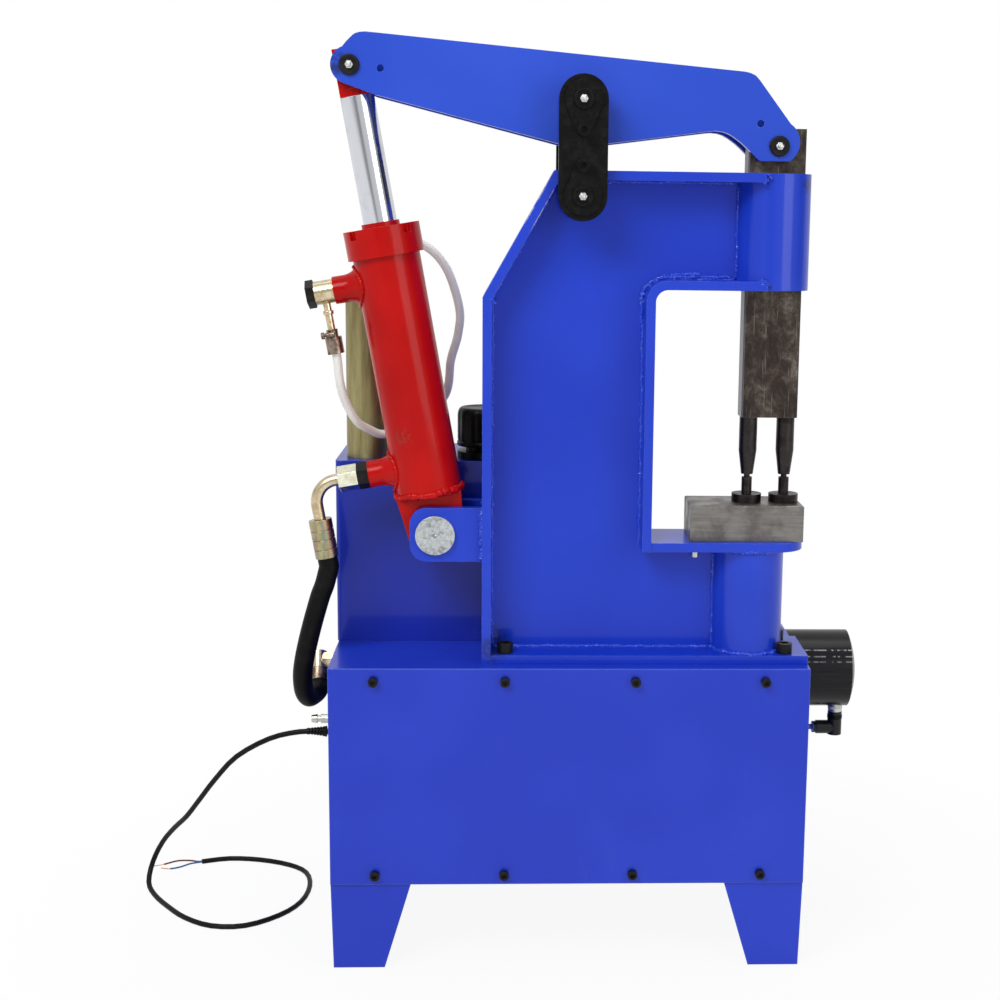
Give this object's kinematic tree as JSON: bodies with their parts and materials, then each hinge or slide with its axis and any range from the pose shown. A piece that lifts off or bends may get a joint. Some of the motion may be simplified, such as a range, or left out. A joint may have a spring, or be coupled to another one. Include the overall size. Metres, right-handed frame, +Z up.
{
  "type": "pneumatic riveting machine",
  "caption": "Bench riveting press: an air-driven oil cylinder tilts a linked lever that drives a guided twin-punch ram onto anvils in the throat of a welded frame on a cabinet.",
  "frame": {"origin": "centre of the machine's bounding box (without the power cord) at the floor", "axes": "+Z up, +X towards the ram side (to the right in the picture), +Y away from the screwed side cover"},
  "size_m": [1.0593, 0.3975, 1.236],
  "materials": {
    "blue_enamel": "glossy ultramarine machine enamel",
    "red_enamel": "glossy red enamel",
    "black_enamel": "glossy black anodised tube",
    "black_oxide": "oiled black oxide",
    "ground_steel": "ground steel",
    "hardened_steel": "dark hardened steel",
    "galvanised": "zinc coated",
    "mill_scale": "brown-grey mill scale",
    "hard_chrome": "polished hard chrome",
    "gold_zinc": "yellow passivated zinc",
    "olive_plating": "dull olive-gold plating",
    "black_rubber": "matte",
    "clear_hose": "milky translucent",
    "black_plastic": "moulded",
    "blue_tube": "flexible tube",
    "core_wire": "wire insulation"
  },
  "bodies": {
    "base": {"cabinet": "blue_enamel", "side_cover": "blue_enamel", "cover_screws": "black_oxide", "legs": "blue_enamel", "frame_web": "blue_enamel", "back_flange": "blue_enamel", "top_flange": "blue_enamel", "throat_flange": "blue_enamel", "table_plate": "blue_enamel", "guide_tube": "blue_enamel", "guide_bushes": "ground_steel", "column": "blue_enamel", "base_plate": "blue_enamel", "frame_bolts": "black_oxide", "bracket_ears": "blue_enamel", "cylinder_pin": "galvanised", "frame_boss": "blue_enamel", "anvil_block": "ground_steel", "block_studs": "black_oxide", "anvils": "hardened_steel", "oil_tank": "blue_enamel", "filler_neck": "black_plastic", "return_pot": "olive_plating", "air_cylinder": "black_enamel", "air_nipple": "galvanised", "air_elbow": "black_plastic", "air_tube": "blue_tube", "air_inlet": "galvanised", "wall_adapter": "gold_zinc", "wall_ferrule": "gold_zinc", "pressure_hose": "black_rubber", "return_tube": "clear_hose", "cord_gland": "black_plastic", "power_cord": "black_rubber", "cord_cores": "core_wire"},
    "cylinder": {"cylinder_barrel": "red_enamel", "cylinder_eye": "red_enamel", "cylinder_gland": "red_enamel", "cylinder_ports": "red_enamel", "banjo": "gold_zinc", "banjo_bolt": "black_oxide", "hose_clamp": "gold_zinc", "port_adapter": "black_oxide", "hose_nut": "gold_zinc", "hose_pipe": "gold_zinc", "hose_ferrule": "gold_zinc"},
    "rod": {"piston_rod": "hard_chrome", "piston": "ground_steel", "rod_eye": "red_enamel"},
    "lever": {"lever_near": "blue_enamel", "lever_far": "blue_enamel", "lever_boss": "blue_enamel", "lever_pins": "black_oxide"},
    "link": {"link_near": "black_oxide", "link_far": "black_oxide", "link_pins": "black_oxide", "pin_keepers": "black_oxide"},
    "ram": {"ram": "mill_scale", "punches": "hardened_steel"},
    "cap": {"filler_cap": "black_plastic"}
  },
  "joints": [
    {"name": "ram_slide", "type": "slide", "parent": "base", "child": "ram", "axis": [0, 0, 1], "range_m": [0, 0.05]},
    {"name": "link_swing", "type": "hinge", "parent": "base", "child": "link", "pos_m": [-0.01518, -0.087, 1.035], "axis": [0, -1, 0], "range_deg": [0, 2.96]},
    {"name": "lever_swing", "type": "hinge", "parent": "link", "child": "lever", "pos_m": [-0.01518, -0.087, 1.155], "axis": [0, -1, 0], "range_deg": [0, 8.19]},
    {"name": "cylinder_swing", "type": "hinge", "parent": "base", "child": "cylinder", "pos_m": [-0.20368, -0.087, 0.5925], "axis": [0, -1, 0], "range_deg": [0, 1.96], "deforming": ["pressure_hose", "return_tube"]},
    {"name": "rod_slide", "type": "slide", "parent": "cylinder", "child": "rod", "axis": [-0.1749, 0, 0.9846], "range_m": [-0.05522, 0]},
    {"name": "cap_turn", "type": "hinge", "parent": "base", "child": "cap", "pos_m": [-0.14168, 0.026, 0.7], "axis": [0, 0, 1], "range_deg": [0, 90]}
  ],
  "couplings": [
    {"joint": "link_swing", "follows": "ram_slide", "rad_per_m": 1.0334},
    {"joint": "lever_swing", "follows": "ram_slide", "rad_per_m": 2.8584},
    {"joint": "cylinder_swing", "follows": "ram_slide", "rad_per_m": 0.68263},
    {"joint": "rod_slide", "follows": "ram_slide", "ratio": -1.1041}
  ]
}
